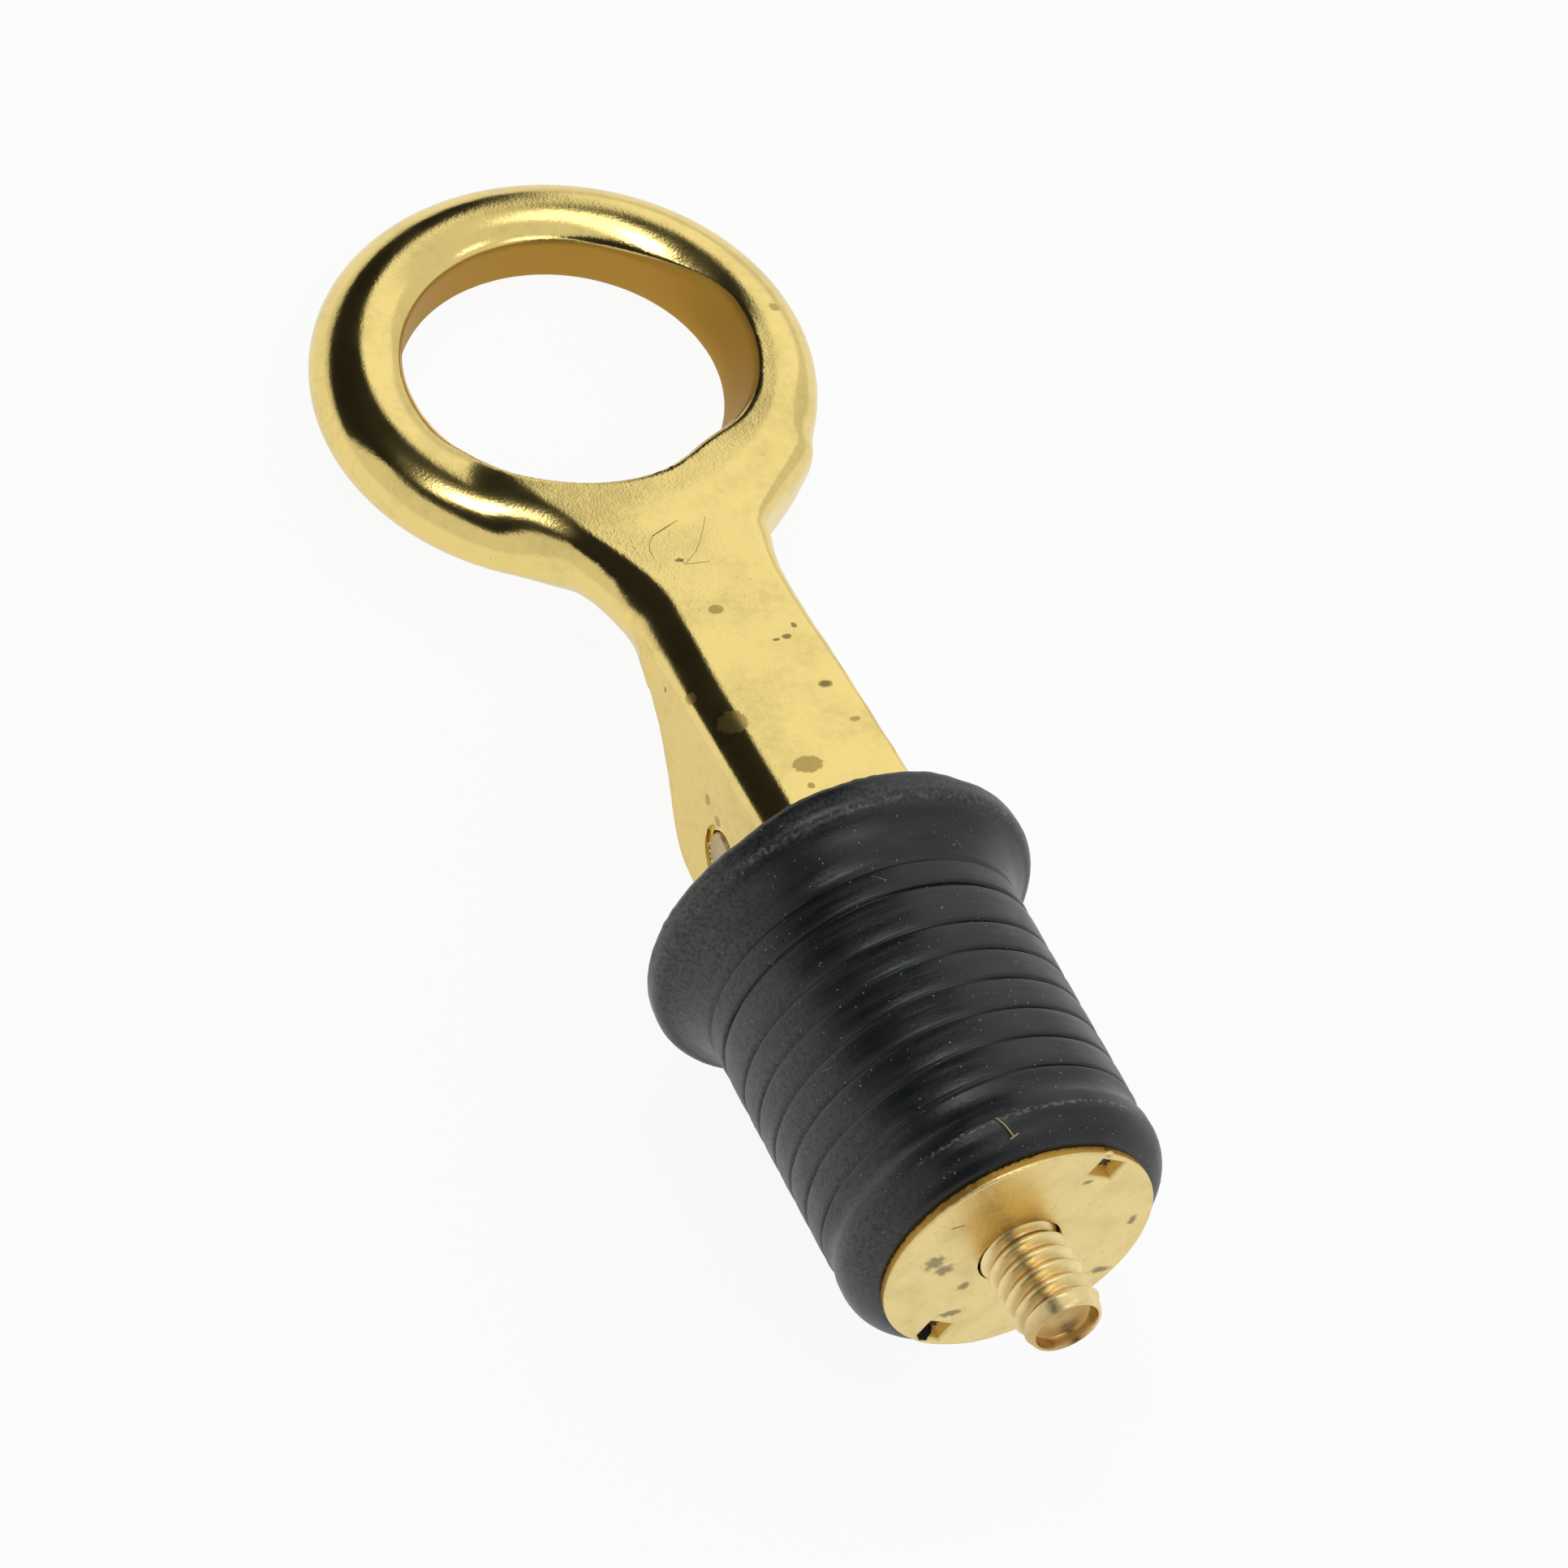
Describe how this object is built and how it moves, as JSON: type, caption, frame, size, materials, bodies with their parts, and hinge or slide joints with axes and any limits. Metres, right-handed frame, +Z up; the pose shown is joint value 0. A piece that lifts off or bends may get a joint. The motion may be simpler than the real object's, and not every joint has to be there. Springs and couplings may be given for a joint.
{
  "type": "boat drain plug",
  "caption": "Expanding rubber drain plug for a boat, with a brass finger ring that folds over on a cross pin to loosen it",
  "frame": {"origin": "centre of the flange's seat on the plug's own axis", "axes": "the plug lies front up: +Y runs along it towards the stud end, +Z is up, and the plug's axis rises 14 degrees towards the stud end"},
  "size_m": [0.0409, 0.1128, 0.034],
  "materials": {
    "cast_brass": "polished casting with a few tarnish spots",
    "drawn_brass": "cut thread, bright crests",
    "sheet_brass": "satin rolled sheet with light stains",
    "black_rubber": "moulded, satin, dusty"
  },
  "bodies": {
    "rubber": {"rubber_plug": "black_rubber", "top_washer": "sheet_brass"},
    "washer": {"bottom_washer": "sheet_brass"},
    "stud": {"threaded_stud": "drawn_brass", "pivot_pin": "drawn_brass"},
    "lever": {"ring_lever": "cast_brass"}
  },
  "joints": [
    {"name": "washer_slide", "type": "slide", "parent": "rubber", "child": "washer", "axis": [0, 0.9702, 0.2421], "range_m": [0, 0.00144]},
    {"name": "stud_turn", "type": "hinge", "parent": "washer", "child": "stud", "pos_m": [0, 0, 0], "axis": [0, 0.9702, 0.2421], "range_deg": [-180, 180]},
    {"name": "lever_fold", "type": "hinge", "parent": "stud", "child": "lever", "pos_m": [0, -0.01512, -0.00377], "axis": [1, 0, 0], "range_deg": [0, 90]}
  ],
  "couplings": [
    {"joint": "washer_slide", "follows": "lever_fold", "m_per_rad": 0.000917}
  ]
}
